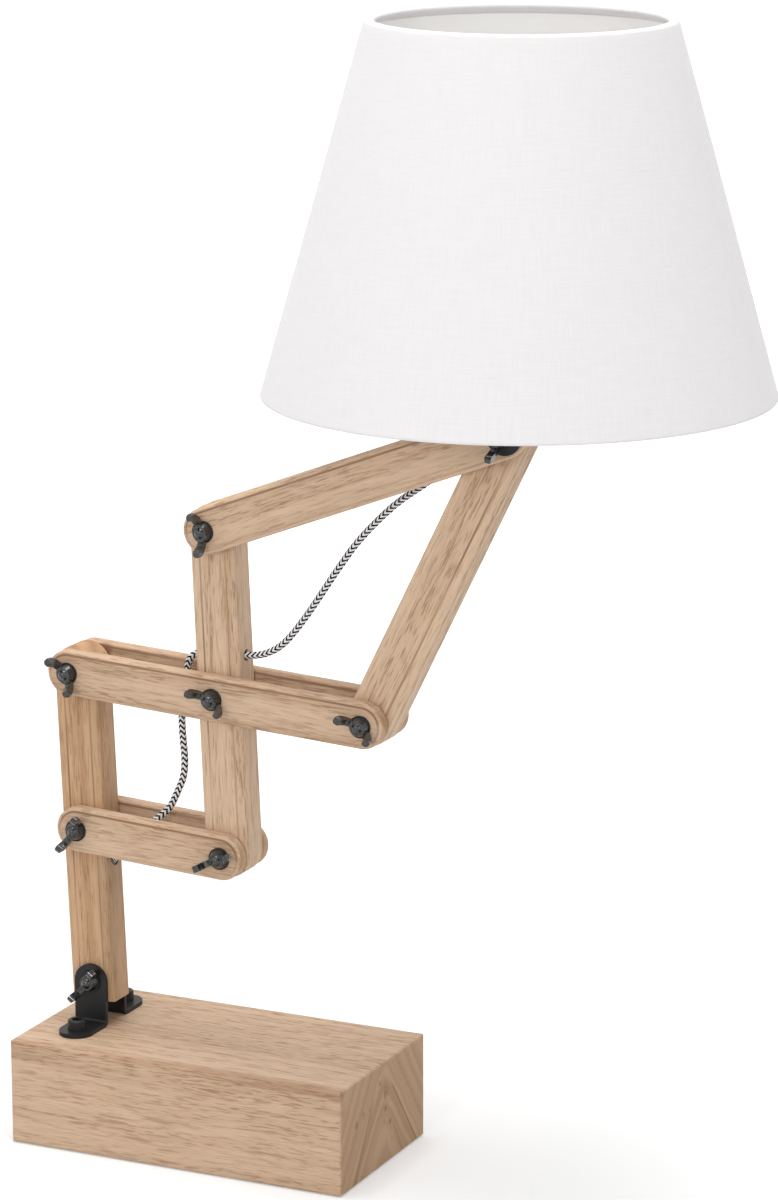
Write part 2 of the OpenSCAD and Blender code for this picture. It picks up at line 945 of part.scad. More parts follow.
// Three rods from a flat hub down to the lower wire, which they are welded to
module shade_spider() {
    mid = hub_low + hub_t / 2;
    run = wire_low_r - spider_root_r;
    drop = mid - shade_rise - 4;
    color(black)
        on_head() {
            translate([0, 0, hub_low])
                difference() {
                    cylinder(r = spider_hub_r, h = hub_t);
                    translate([0, 0, -1])
                        cylinder(d = thread_d + 1.4, h = hub_t + 2);
                }
            for (a = [60, 180, 300])
                rotate([0, 0, a])
                    translate([spider_root_r, 0, mid])
                        rotate([0, 90 + atan2(drop, run), 0])
                            cylinder(d = spider_d, h = norm([run, drop]) - 1, $fn = 24);
        }
}

module wire_ring(r, z) {
    translate([head_x, 0, z])
        rotate_extrude()
            translate([r, 0])
                circle(d = wire_d, $fn = 16);
}

module shade_low_wire() {
    color(black)
        wire_ring(wire_low_r, rim_low + 2);
}

module shade_top_wire() {
    color(white)
        wire_ring(wire_top_r, rim_top - 2);
}

// A conical skin of the shade between two depths under its outer face
module shade_skin(out, t, low, high) {
    a = shade_r(low) - out;
    b = shade_r(high) - out;
    translate([head_x, 0, rim_low])
        turned([[a - t, low], [a, low], [b, high], [b - t, high]]);
}

module shade_fabric() {
    color(white)
        shade_skin(0, fabric_t, 0, shade_h);
}

module shade_lining() {
    color([0.97, 0.95, 0.90])
        shade_skin(fabric_t + skin_gap, lining_t, 0.3, shade_h - 0.3);
}

module cord_head() {
    color(braid)
        tube(path_head, cord_d, [0, 1, 0], 8);
}

module cord_upper() {
    color(braid)
        tube(path_upper, cord_d, [0, 1, 0], 8);
}

module cord_mid() {
    color(braid)
        tube(path_mid, cord_d, [0, 1, 0], 8);
}

module cord_low() {
    color(braid)
        tube(path_low, cord_d, [0, 1, 0], 8);
}

module cord_lead() {
    color(braid)
        tube(path_lead, cord_d, [0, 0, 1], 8);
}

module cord_coil() {
    color(braid)
        tube(path_coil, cord_d, [0, 0, 1], 6);
}

// A flat tie round the bundle of turns, on its right side
module coil_tie() {
    w = 9;
    inner = coil_r_in - cord_d / 2 - 0.8;
    outer = coil_r_out + cord_d / 2 + 0.8;
    top = lie_z + coil_step + cord_d / 2 + 0.6;
    color(black)
        translate([coil_x, coil_y - w / 2, 0])
            difference() {
                translate([inner - 0.8, 0, 0])
                    cube([outer - inner + 1.6, w, top + 0.8]);
                translate([inner, -1, 0.8])
                    cube([outer - inner, w + 2, top - 0.8]);
            }
}

// Half of the cord switch, between two heights, with its cord holes
module switch_half(low, high) {
    difference() {
        translate([switch_x0, switch_y, low])
            linear_extrude(high - low)
                translate([switch_l / 2, 0])
                    soft_rect(switch_l, switch_w, 7);
        translate([switch_x0 - 1, switch_y, switch_split])
            rotate([0, 90, 0])
                cylinder(d = cord_bore, h = switch_l + 2);
    }
}

rocker_l = 19;
rocker_w = 11;
rocker_axis = [switch_x0 + switch_l / 2, switch_y, switch_h - 2];

module switch_base() {
    color(black)
        switch_half(0, switch_split - 0.05);
}

module switch_cover() {
    color(black)
        difference() {
            switch_half(switch_split + 0.05, switch_h);
            translate(rocker_axis + [0, 0, 1])
                cube([rocker_l + 1.6, rocker_w + 0.6, 13], center = true);
            translate(rocker_axis)
                rotate([90, 0, 0])
                    cylinder(d = 2 + 2 * run_clear, h = rocker_w + 5, center = true);
        }
}

// Tapered sleeves on the cord where it leaves the two ends of the switch
module switch_reliefs() {
    color(black)
        for (s = [0, 1])
            translate([switch_x0 + s * switch_l, switch_y, switch_split])
                rotate([0, s == 0 ? -90 : 90, 0])
                    difference() {
                        cylinder(d1 = 10, d2 = tip_d, h = relief_l);
                        translate([0, 0, -1])
                            cylinder(d = cord_bore, h = relief_l + 2);
                    }
}

module switch_rocker() {
    color([0.14, 0.14, 0.15])
        translate(rocker_axis) {
            rotate([90, 0, 0])
                linear_extrude(rocker_w, center = true)
                    polygon([[-9, 0], [-6, -3.5], [6, -3.5], [9, 0], [9, 4.4], [0, 2.8], [-9, 2.6]]);
            rotate([90, 0, 0])
                cylinder(d = 2, h = rocker_w + 4, center = true);
        }
}

module plug_shell() {
    color(black)
        difference() {
            union() {
                translate([plug_x - plug_l, coil_end[1], plug_h / 2])
                    rotate([90, 0, 90])
                        linear_extrude(plug_body_l)
                            soft_rect(35, plug_h, 5);
                translate([plug_x - relief_l, coil_end[1], plug_h / 2])
                    rotate([0, 90, 0])
                        cylinder(d1 = 12, d2 = tip_d, h = relief_l);
            }
            translate([plug_x - 6, coil_end[1], plug_h / 2])
                rotate([0, 90, 0])
                    cylinder(d = cord_bore, h = relief_l);
            for (s = [-1, 1])
                translate([plug_x - plug_l - 1, coil_end[1] + s * 9.5, plug_h / 2])
                    rotate([0, 90, 0])
                        cylinder(d = 4.2, h = 9);
        }
}

module plug_pins() {
    color([0.8, 0.8, 0.82])
        for (s = [-1, 1])
            translate([plug_x - plug_l + 8, coil_end[1] + s * 9.5, plug_h / 2])
                rotate([0, -90, 0]) {
                    cylinder(d = 4, h = 25);
                    translate([0, 0, 25])
                        cylinder(d1 = 4, d2 = 2.4, h = 2);
                }
}

base_block();
base_felt();
base_inserts();
bracket_front();
bracket_rear();
bracket_screws();
base_bolt();
base_washers();
lower_post();
lower_link_front();
lower_link_rear();
lower_link_bolts();
lower_link_washers();
cross_link_front();
cross_link_rear();
cross_link_bolts();
cross_link_washers();
middle_post();
head_arm();
top_link_front();
top_link_rear();
top_link_bolts();
top_link_washers();
stirrup();
nipple();
nipple_nut();
holder_cap();
holder_body();
holder_ring();
holder_insert();
holder_contacts();
bulb_cap();
bulb_globe();
shade_spider();
shade_low_wire();
shade_top_wire();
shade_fabric();
shade_lining();
nut_base();
nut_low_left();
nut_cross_left();
nut_low_right();
nut_cross_mid();
nut_cross_right();
nut_top_left();
nut_head();
cord_head();
cord_upper();
cord_mid();
cord_low();
cord_lead();
cord_coil();
coil_tie();
switch_base();
switch_cover();
switch_reliefs();
switch_rocker();
plug_shell();
plug_pins();
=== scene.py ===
"""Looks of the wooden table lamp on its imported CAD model, in metres."""
import json
import math

import bpy
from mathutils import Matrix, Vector


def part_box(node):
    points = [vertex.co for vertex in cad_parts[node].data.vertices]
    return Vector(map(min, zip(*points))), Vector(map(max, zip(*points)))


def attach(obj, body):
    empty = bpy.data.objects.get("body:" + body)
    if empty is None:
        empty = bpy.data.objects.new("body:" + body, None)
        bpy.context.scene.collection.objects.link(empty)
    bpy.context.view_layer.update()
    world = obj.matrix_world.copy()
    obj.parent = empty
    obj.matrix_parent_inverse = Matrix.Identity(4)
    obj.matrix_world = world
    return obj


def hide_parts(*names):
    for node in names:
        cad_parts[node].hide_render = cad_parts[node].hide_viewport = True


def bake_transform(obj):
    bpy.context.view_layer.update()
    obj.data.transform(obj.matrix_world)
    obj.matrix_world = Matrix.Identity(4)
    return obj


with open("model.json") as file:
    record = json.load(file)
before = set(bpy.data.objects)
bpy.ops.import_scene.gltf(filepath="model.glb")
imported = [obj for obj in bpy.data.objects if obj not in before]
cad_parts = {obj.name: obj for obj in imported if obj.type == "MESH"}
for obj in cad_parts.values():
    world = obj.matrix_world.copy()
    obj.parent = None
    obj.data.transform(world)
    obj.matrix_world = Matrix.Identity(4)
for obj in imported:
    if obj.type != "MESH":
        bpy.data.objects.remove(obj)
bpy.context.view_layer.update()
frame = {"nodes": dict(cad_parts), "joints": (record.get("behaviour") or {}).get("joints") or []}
nodes = frame["nodes"]
scene = bpy.context.scene
MM = 0.001
UP = Vector((0, 0, 1))
ALONG = Vector((1, 0, 0))
BACK = Vector((0, 1, 0))

# Pivots of the arm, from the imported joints
joint_at = {j["name"]: Vector(j["pos_m"]) for j in frame["joints"]}
base_bolt = joint_at["base_tilt"]
low_left = joint_at["lower_link_pivot"]
cross_left = joint_at["scissor"]
low_right = joint_at["nut_low_right_turn"]
cross_mid = joint_at["cross_post_pivot"]
cross_right = joint_at["head_arm_pivot"]
top_left = joint_at["top_link_pivot"]
head_bolt = joint_at["head_tilt"]


def photo_camera():
    """The photograph's camera, fitted to the base, the bolts and the shade."""
    downward, leftward = 14.08, 24.894
    data = bpy.data.cameras.new("photo_camera")
    data.lens = 131.528
    data.sensor_width = 36
    data.shift_x = -0.02102
    data.shift_y = 0.03227
    data.clip_end = 30
    camera = bpy.data.objects.new("photo_camera", data)
    camera.location = (1.09274, -2.08975, 0.88465)
    camera.rotation_euler = (math.radians(90 - downward), 0, math.radians(leftward))
    scene.collection.objects.link(camera)
    scene.camera = camera


photo_camera()


# Node trees: one node, one sum, one noise at a time


def lay(tree, kind, inputs=None, **settings):
    """Adds a node; an input is a plain value or another node's socket."""
    node = tree.nodes.new(kind)
    for name, value in settings.items():
        setattr(node, name, value)
    for key, value in (inputs or {}).items():
        if isinstance(value, bpy.types.NodeSocket):
            tree.links.new(value, node.inputs[key])
        else:
            node.inputs[key].default_value = value
    return node


def calc(tree, operation, a, b=0.0, c=0.0):
    """One sum of up to three values."""
    return lay(tree, "ShaderNodeMath", {0: a, 1: b, 2: c}, operation=operation).outputs[0]


def times(tree, a, b):
    return calc(tree, "MULTIPLY", a, b)


def times_plus(tree, a, b, c):
    """a times b, plus c."""
    return calc(tree, "MULTIPLY_ADD", a, b, c)


def vector_calc(tree, operation, a, b):
    """One sum of two vectors."""
    return lay(tree, "ShaderNodeVectorMath", {0: a, 1: b}, operation=operation).outputs[0]


def stretched(tree, vector, scale):
    return vector_calc(tree, "MULTIPLY", vector, scale)


def span_of(tree, vector):
    """How long a vector is."""
    return lay(tree, "ShaderNodeVectorMath", {0: vector}, operation="LENGTH").outputs["Value"]


def axes_of(tree, vector):
    return lay(tree, "ShaderNodeSeparateXYZ", {0: vector}).outputs


def ease(tree, value, low, high, to_low=0.0, to_high=1.0):
    """A smooth step of the value between two levels."""
    inputs = {0: value, 1: low, 2: high, 3: to_low, 4: to_high}
    return lay(tree, "ShaderNodeMapRange", inputs, interpolation_type="SMOOTHSTEP").outputs[0]


def blended(tree, factor, a, b, how="MIX"):
    """Two colours laid over each other."""
    inputs = {0: factor, 6: a, 7: b}
    return lay(tree, "ShaderNodeMix", inputs, data_type="RGBA", blend_type=how).outputs[2]


def grey(tree, value):
    return lay(tree, "ShaderNodeCombineColor", {0: value, 1: value, 2: value}).outputs[0]


def cloud(tree, vector, seed, detail=2.0, rough=0.5):
    """Noise from 0 to 1 round a middle of one half; the seed picks another cloud."""
    inputs = {"Vector": vector, "W": seed, "Scale": 1.0, "Detail": detail, "Roughness": rough}
    return lay(tree, "ShaderNodeTexNoise", inputs, noise_dimensions="4D").outputs[0]


def bands(tree, level, detail=1.0):
    """Uneven bands along one value."""
    inputs = {"W": level, "Scale": 1.0, "Detail": detail, "Roughness": 0.5}
    return lay(tree, "ShaderNodeTexNoise", inputs, noise_dimensions="1D").outputs[0]


def new_group(name, inputs, outputs):
    """A node group with named sockets; gives the group, what it is given and what it gives."""
    group = bpy.data.node_groups.new(name, "ShaderNodeTree")
    for label, kind, value in inputs:
        socket = group.interface.new_socket(label, in_out="INPUT", socket_type="NodeSocket" + kind)
        if value is not None:
            socket.default_value = value
    for label, kind in outputs:
        group.interface.new_socket(label, in_out="OUTPUT", socket_type="NodeSocket" + kind)
    return group, group.nodes.new("NodeGroupInput").outputs, group.nodes.new("NodeGroupOutput").inputs


def placed(tree, group, **inputs):
    """One use of a group, with its inputs named by words joined with underscores."""
    named = {label.replace("_", " "): value for label, value in inputs.items()}
    return lay(tree, "ShaderNodeGroup", named, node_tree=group).outputs


def tint(red, green, blue):
    """A colour as it reads on a screen, turned into the renderer's linear colour."""
    def linear(v):
        v /= 255
        return v / 12.92 if v <= 0.04045 else ((v + 0.055) / 1.055) ** 2.4
    return (linear(red), linear(green), linear(blue), 1.0)


def new_material(name):
    """A material, its node tree and its shader."""
    material = bpy.data.materials.new(name)
    material.use_nodes = True
    tree = material.node_tree
    return material, tree, tree.nodes["Principled BSDF"]


def bumped(tree, shader, height, strength, distance):
    """Fine relief on a shader."""
    inputs = {"Height": height, "Strength": strength, "Distance": distance}
    tree.links.new(lay(tree, "ShaderNodeBump", inputs).outputs[0], shader.inputs["Normal"])


def wear(obj, material):
    """Gives a piece its one material."""
    obj.data.materials.clear()
    obj.data.materials.append(material)


# Wood

# Noise per metre, along the grain and across it
DRIFT = (5, 26, 26)
BROAD = (3.5, 45, 45)
STREAK = (36, 500, 500)
FIBRE = (50, 1900, 1900)
DASH = (88, 1080, 1080)
SWAY = 12 * MM
END_SHADE = (0.80, 0.72, 0.62, 1.0)


def grain_group():
    """Oiled open-pored wood: faint rings, bundles of streaks, fibres and short dark pores along the grain."""
    tree, given, gives = new_group("Oiled wood grain", [
        ("Grain", "Vector", None), ("Ring", "Float", 0.0), ("Seed", "Float", 0.0), ("Ring width", "Float", 6 * MM),
        ("Streaks", "Float", 1.0), ("Pores", "Float", 1.0), ("End", "Float", 0.0), ("Groove", "Float", 0.0),
        ("Stained", "Float", 0.0), ("Pale", "Color", None), ("Brown", "Color", None), ("Pore", "Color", None),
        ("Stain", "Color", None),
    ], [("Color", "Color"), ("Roughness", "Float"), ("Height", "Float")])
    seed, end = given["Seed"], given["End"]
    drift = cloud(tree, stretched(tree, given["Grain"], DRIFT), seed, 2.0)
    lean = times(tree, calc(tree, "SUBTRACT", drift, 0.5), SWAY)
    sway = lay(tree, "ShaderNodeCombineXYZ", {1: lean, 2: lean}).outputs[0]
    swayed = vector_calc(tree, "ADD", given["Grain"], sway)

    def along(scale, shift, detail, rough=0.5):
        return cloud(tree, stretched(tree, swayed, scale), calc(tree, "ADD", seed, shift), detail, rough)

    broad = along(BROAD, 5.3, 1.0)
    streak = along(STREAK, 9.1, 2.0, 0.6)
    fibre = along(FIBRE, 2.7, 1.0)
    dash = along(DASH, 7.9, 2.0, 0.55)
    depth = calc(tree, "ADD", lean, given["Ring"])
    phase = calc(tree, "ADD", calc(tree, "DIVIDE", depth, given["Ring width"]), times(tree, seed, 3.7))
    band = bands(tree, phase, 2.0)

    # The faces show bands, streaks and broad tone, and the ends show the rings
    face = times_plus(tree, streak, 0.32, times(tree, broad, 0.28))
    face = times_plus(tree, band, 0.40, face)
    rings = times_plus(tree, band, 0.85, times(tree, drift, 0.15))
    tone = times_plus(tree, end, calc(tree, "SUBTRACT", rings, face), face)
    tone = times(tree, ease(tree, tone, 0.38, 0.66), given["Streaks"])
    color = blended(tree, tone, given["Pale"], given["Brown"])
    color = blended(tree, given["Stained"], color, given["Stain"])
    fine = ease(tree, fibre, 0.25, 0.75, 0.93, 1.05)
    color = blended(tree, 1.0, color, grey(tree, fine), "MULTIPLY")
    color = blended(tree, end, color, END_SHADE, "MULTIPLY")

    # Pores lie in bundles, dark lines follow the streaks, and both fade on the ends
    bundle = ease(tree, calc(tree, "ADD", band, broad), 0.78, 1.14, 0.35, 1.0)
    pore = times(tree, ease(tree, dash, 0.51, 0.63), bundle)
    line = times(tree, ease(tree, streak, 0.58, 0.68), 0.7)
    dark = times(tree, calc(tree, "MAXIMUM", pore, line), given["Pores"])
    dark = times(tree, dark, times_plus(tree, end, -0.85, 1.0))
    # Dark marks: cracks and pith spots on the block, and painted shadow lines in the bars' routed shoulders
    color = blended(tree, calc(tree, "MAXIMUM", dark, given["Groove"]), color, given["Pore"])
    tree.links.new(color, gives["Color"])
    rough = times_plus(tree, pore, 0.2, times_plus(tree, tone, 0.1, 0.52))
    tree.links.new(rough, gives["Roughness"])
    tree.links.new(times_plus(tree, pore, -1.0, times(tree, fibre, 0.45)), gives["Height"])
    return tree


def ring_group():
    """Growth rings round a pith that lies beside the bar: how far a point is from it."""
    tree, given, gives = new_group("Growth rings", [
        ("Point", "Vector", None), ("Across", "Float", 0.0), ("Up", "Float", 0.0),
    ], [("Ring", "Float")])
    pith = lay(tree, "ShaderNodeCombineXYZ", {1: given["Across"], 2: given["Up"]}).outputs[0]
    side = vector_calc(tree, "SUBTRACT", given["Point"], pith)
    tree.links.new(span_of(tree, stretched(tree, side, (0, 1, 1))), gives["Ring"])
    return tree


def shoulder_shadow_group():
    """A painted shadow line in a bar's routed shoulder, with its strength on the upper or left side and on the other.
    """
    tree, given, gives = new_group("Shoulder shadow line", [
        ("Point", "Vector", None), ("Length", "Float", 90 * MM), ("Line", "Float", 8 * MM), ("Left", "Float", 1.0),
        ("Right", "Float", 0.4),
    ], [("Groove", "Float")])
    point = given["Point"]
    axes = axes_of(tree, point)
    before = calc(tree, "MAXIMUM", times(tree, axes[0], -1.0), 0.0)
    past = calc(tree, "MAXIMUM", calc(tree, "SUBTRACT", axes[0], given["Length"]), before)
    off = calc(tree, "SQRT", times_plus(tree, past, past, times(tree, axes[2], axes[2])))
    away = calc(tree, "ABSOLUTE", calc(tree, "SUBTRACT", off, given["Line"]))
    near = ease(tree, away, 0.2 * MM, 1.0 * MM, 0.85, 0.0)
    patchy = ease(tree, cloud(tree, stretched(tree, point, (14, 90, 90)), 3.3, 1.0), 0.35, 0.6, 0.3, 1.0)
    side = ease(tree, axes[2], -2 * MM, 2 * MM, given["Right"], given["Left"])
    tree.links.new(times(tree, near, times(tree, patchy, side)), gives["Groove"])
    return tree


wood_grain = grain_group()
growth_rings = ring_group()
shoulder = shoulder_shadow_group()


def wood(name, start, direction, seed, ring_of, ring_width=6 * MM, streaks=0.55, pores=0.58, pale=(209, 180, 152),
         brown=(176, 141, 109), pore=(138, 102, 75), stain=(174, 133, 103), dark_marks_of=None, stain_of=None):
    """Wood whose grain runs from start along direction; ring_of gives the growth ring's depth at a point."""
    material, tree, shader = new_material(name)
    here = lay(tree, "ShaderNodeTexCoord").outputs
    turned = (0, -math.atan2(direction.z, direction.x), 0)
    inputs = {"Vector": here["Object"], "Location": start, "Rotation": turned}
    point = lay(tree, "ShaderNodeMapping", inputs, vector_type="TEXTURE").outputs[0]
    inputs = {0: here["Normal"], 1: direction}
    facing = lay(tree, "ShaderNodeVectorMath", inputs, operation="DOT_PRODUCT").outputs["Value"]
    end = ease(tree, calc(tree, "ABSOLUTE", facing), 0.6, 0.95)
    # The dark marks are the block's cracks and pith spots, or a bar's painted shadow line
    out = placed(tree, wood_grain, Grain=point, Ring=ring_of(tree, point), Seed=seed, Ring_width=ring_width,
                 Streaks=streaks, Pores=pores, End=end, Groove=dark_marks_of(tree, point, end) if dark_marks_of else 0.0,
                 Stained=stain_of(tree, point) if stain_of else 0.0,
                 Pale=tint(*pale), Brown=tint(*brown), Pore=tint(*pore), Stain=tint(*stain))
    tree.links.new(out["Color"], shader.inputs["Base Color"])
    tree.links.new(out["Roughness"], shader.inputs["Roughness"])
    shader.inputs["Specular IOR Level"].default_value = 0.3
    bumped(tree, shader, out["Height"], 0.35, 0.4 * MM)
    return material


def round_pith(across, up):
    """Growth rings of a bar."""
    def ring(tree, point):
        return placed(tree, growth_rings, Point=point, Across=across, Up=up)["Ring"]
    return ring


def arched_pith(across, sharp, slope):
    """Growth rings that stand as pointed arches on the block's end."""
    def ring(tree, point):
        axes = axes_of(tree, point)
        side = calc(tree, "SUBTRACT", axes[1], across)
        side = calc(tree, "SQRT", times_plus(tree, side, side, sharp * sharp))
        return times_plus(tree, side, slope, axes[2])
    return ring


def shoulder_shadow_line(length, line, left, right):
    """The painted shadow line in a bar's shoulder, at a distance from the bar's middle line."""
    def painted_shadow_line(tree, point, end):
        return placed(tree, shoulder, Point=point, Length=length, Line=line, Left=left, Right=right)["Groove"]
    return painted_shadow_line


# Cracks: across and up at both ends in millimetres, half width, and strength
CRACKS = (((9.6, 47.5), (44.8, 0), 1.2, 1.0), ((-12, 45), (-36, 4), 2.0, 0.6), ((12, 22), (26, 0), 1.6, 0.5))
# Spots: across, up, half width, half height in millimetres, and strength
PITH_SPOTS = ((3.2, 42, 3.2, 6.5, 0.75), (2.6, 33.5, 2.4, 2.2, 1.0), (8.8, 24, 1.9, 2.2, 1.0), (1, 26.5, 1.5, 1.6, 0.8),
              (-4, 50.5, 2.2, 2.2, 0.8), (-25.5, 38.5, 2.2, 2.8, 0.7), (-35, 36, 2.4, 3.2, 0.7), (-17, 36, 2.5, 6, 0.4),
              (11, 13, 2.2, 2.5, 0.35), (4, 12, 1.4, 4.5, 0.35))


def end_cracks(tree, point, end):
    """Drying cracks and pith spots on the block's ends."""
    axes = axes_of(tree, point)
    found = 0.0
    for (y0, z0), (y1, z1), wide, strength in CRACKS:
        run = math.hypot(y1 - y0, z1 - z0)
        ny, nz = (z1 - z0) / run, (y0 - y1) / run
        level = (ny * y0 + nz * z0) * MM
        off = calc(tree, "SUBTRACT", times_plus(tree, axes[1], ny, times(tree, axes[2], nz)), level)
        near = ease(tree, calc(tree, "ABSOLUTE", off), 0.1 * MM, wide * MM, strength, 0.0)
        under = ease(tree, axes[2], (z0 - 6) * MM, (z0 + 1) * MM, 1.0, 0.0)
        found = calc(tree, "MAXIMUM", times(tree, near, under), found)
    ragged = ease(tree, cloud(tree, stretched(tree, point, (0, 420, 300)), 8.8, 2.0), 0.36, 0.52)
    for y0, z0, wide, tall, strength in PITH_SPOTS:
        off = vector_calc(tree, "SUBTRACT", point, (0, y0 * MM, z0 * MM))
        off = span_of(tree, stretched(tree, off, (0, 1 / (wide * MM), 1 / (tall * MM))))
        spot = times(tree, ease(tree, off, 0.5, 1.0, strength, 0.0), ragged)
        found = calc(tree, "MAXIMUM", spot, found)
    return times(tree, found, end)


def front_edge(tree, point):
    """A redder strip along the block's upper front edge."""
    axes = axes_of(tree, point)
    high = ease(tree, axes[2], 43 * MM, 54 * MM)
    near = ease(tree, axes[1], -53 * MM, -45 * MM, 1.0, 0.0)
    patchy = ease(tree, cloud(tree, stretched(tree, point, (9, 60, 150)), 2.4, 2.0), 0.42, 0.60, 0.0, 0.65)
    return times(tree, patchy, times(tree, high, near))


def right_side(tree, point):
    """A greyer strip on one side of a post."""
    axes = axes_of(tree, point)
    patchy = ease(tree, cloud(tree, stretched(tree, point, (9, 50, 50)), 5.2, 2.0), 0.35, 0.60, 0.2, 0.6)
    return times(tree, patchy, ease(tree, axes[2], -9 * MM, -3 * MM, 1.0, 0.0))


def knot_at(x, z, size):
    """A small dark knot with rings, on a bar's face."""
    rings_per_metre = 900.0

    def knot(tree, point):
        off = vector_calc(tree, "SUBTRACT", point, (x, 0, z))
        off = span_of(tree, stretched(tree, off, (0.8, 0, 1)))
        rings = ease(tree, bands(tree, times(tree, off, rings_per_metre)), 0.3, 0.7, 0.7, 1.0)
        return times(tree, rings, ease(tree, off, 0.4 * size, size, 0.85, 0.0))
    return knot


post_dir = (low_left - base_bolt).normalized()
link_dir = (low_right - low_left).normalized()
arm_dir = (head_bolt - cross_right).normalized()
top_dir = (head_bolt - top_left).normalized()
pitch = (low_left - base_bolt).length
top_length = (head_bolt - top_left).length

# Painted shadow lines in the bars' routed shoulders: distance from the bar's middle line, strength on the upper or left
# side and on the other
POST_SHADOW_LINE = (7.7 * MM, 1.0, 0.4)
ARM_SHADOW_LINE = (7.7 * MM, 0.15, 0.9)
LINK_SHADOW_LINE = (10.6 * MM, 1.0, 0.4)
tan_post = {"pale": (205, 167, 131), "brown": (166, 124, 90), "pore": (126, 88, 60), "stain": (158, 134, 104),
            "pores": 0.45, "stain_of": right_side}
light_bar = {"pale": (215, 186, 157), "brown": (184, 149, 117)}
knotted = {"stain_of": knot_at(9 * MM, 9 * MM, 5 * MM), "stain": (132, 86, 64)}

block_rings = arched_pith(1 * MM, 6 * MM, 1.4)
wear(nodes["base_block"], wood("block_wood", Vector((0, 0, 0)), ALONG, 1.0, block_rings, ring_width=14 * MM,
                               stain=(166, 131, 103), dark_marks_of=end_cracks, stain_of=front_edge))
# Start, direction, length, shoulder shadow line, seed, the pith's place across and up, and what else differs
bar_looks = {
    "lower_post": (base_bolt, post_dir, 2 * pitch, POST_SHADOW_LINE, 2.3, (-0.030, 0.022), tan_post),
    "middle_post": (low_right, post_dir, (top_left - low_right).length, POST_SHADOW_LINE, 4.1, (0.045, -0.030), light_bar),
    "head_arm": (cross_right, arm_dir, (head_bolt - cross_right).length, ARM_SHADOW_LINE, 6.7, (-0.060, 0.030), light_bar),
    "lower_link_front": (low_left, link_dir, pitch, LINK_SHADOW_LINE, 8.2, (-0.040, 0.010), {}),
    "lower_link_rear": (low_left, link_dir, pitch, LINK_SHADOW_LINE, 10.9, (0.060, -0.020), {}),
    "cross_link_front": (cross_left, link_dir, 2 * pitch, LINK_SHADOW_LINE, 12.4, (-0.050, -0.025), {}),
    "cross_link_rear": (cross_left, link_dir, 2 * pitch, LINK_SHADOW_LINE, 14.8, (0.050, 0.015), knotted),
    "top_link_front": (top_left, top_dir, top_length, LINK_SHADOW_LINE, 16.1, (-0.045, 0.028), {}),
    "top_link_rear": (top_left, top_dir, top_length, LINK_SHADOW_LINE, 18.6, (0.055, 0.010), {}),
}
for bar, (start, direction, length, line, seed, pith, looks) in bar_looks.items():
    wear(nodes[bar], wood(bar + "_wood", start, direction, seed, round_pith(*pith),
                          dark_marks_of=shoulder_shadow_line(length, *line), **looks))


# Paint, plastic, brass and glass


def speckle_group():
    """Small uneven tone and gloss of a sprayed, moulded or cast surface."""
    tree, given, gives = new_group("Fine speckle", [
        ("Point", "Vector", None), ("Size", "Float", 0.6 * MM), ("Tone", "Color", None), ("Dust", "Color", None),
        ("Spread", "Float", 0.3), ("Gloss", "Float", 0.4),
    ], [("Color", "Color"), ("Roughness", "Float"), ("Height", "Float")])
    scale = calc(tree, "DIVIDE", 1.0, given["Size"])
    near = lay(tree, "ShaderNodeVectorMath", {0: given["Point"], "Scale": scale}, operation="SCALE").outputs[0]
    grainy = cloud(tree, near, 1.5, 2.0, 0.6)
    patchy = cloud(tree, stretched(tree, given["Point"], (70, 70, 70)), 4.2, 3.0, 0.6)
    dust = times(tree, ease(tree, patchy, 0.45, 0.75), given["Spread"])
    tree.links.new(blended(tree, dust, given["Tone"], given["Dust"]), gives["Color"])
    uneven = times_plus(tree, calc(tree, "SUBTRACT", grainy, 0.5), 0.18, given["Gloss"])
    tree.links.new(times_plus(tree, dust, 0.12, uneven), gives["Roughness"])
    tree.links.new(grainy, gives["Height"])
    return tree


speckle = speckle_group()


def finish_of(name, tone, dust, size=0.6 * MM, spread=0.3, gloss=0.4, relief=0.1, metal=0.0, specular=0.5):
    """A finish in one tone with specks of another; a lower gloss value shines more."""
    material, tree, shader = new_material(name)
    here = lay(tree, "ShaderNodeTexCoord").outputs["Object"]
    out = placed(tree, speckle, Point=here, Size=size, Tone=tint(*tone), Dust=tint(*dust), Spread=spread, Gloss=gloss)
    tree.links.new(out["Color"], shader.inputs["Base Color"])
    tree.links.new(out["Roughness"], shader.inputs["Roughness"])
    shader.inputs["Metallic"].default_value = metal
    shader.inputs["Specular IOR Level"].default_value = specular
    bumped(tree, shader, out["Height"], relief, 0.2 * MM)
    return material


black_paint = finish_of("black_paint", (27, 27, 29), (44, 43, 42), size=0.5 * MM, spread=0.4, gloss=0.42, relief=0.12,
                        specular=0.3)
nut_paint = finish_of("nut_paint", (24, 25, 26), (29, 30, 31), size=2 * MM, gloss=0.30, relief=0.01, specular=0.22)
nut_shader = nut_paint.node_tree.nodes["Principled BSDF"]
nut_shader.inputs["Coat Weight"].default_value = 1.0
nut_shader.inputs["Coat Roughness"].default_value = 0.08
white_paint = finish_of("white_paint", (232, 231, 228), (214, 211, 206), spread=0.4, gloss=0.45)
brass = finish_of("brass", (206, 166, 92), (160, 122, 66), size=0.5 * MM, spread=0.6, gloss=0.3, relief=0.08, metal=1.0)
pin_metal = finish_of("pin_metal", (205, 206, 210), (160, 160, 165), size=0.5 * MM, spread=0.5, gloss=0.22, relief=0.05,
                      metal=1.0)
black_plastic = finish_of("black_plastic", (26, 26, 27), (46, 45, 44), size=0.4 * MM, spread=0.5, gloss=0.5,
                          relief=0.25)
porcelain = finish_of("porcelain", (234, 233, 229), (216, 214, 208), size=2 * MM, gloss=0.15, relief=0.03)
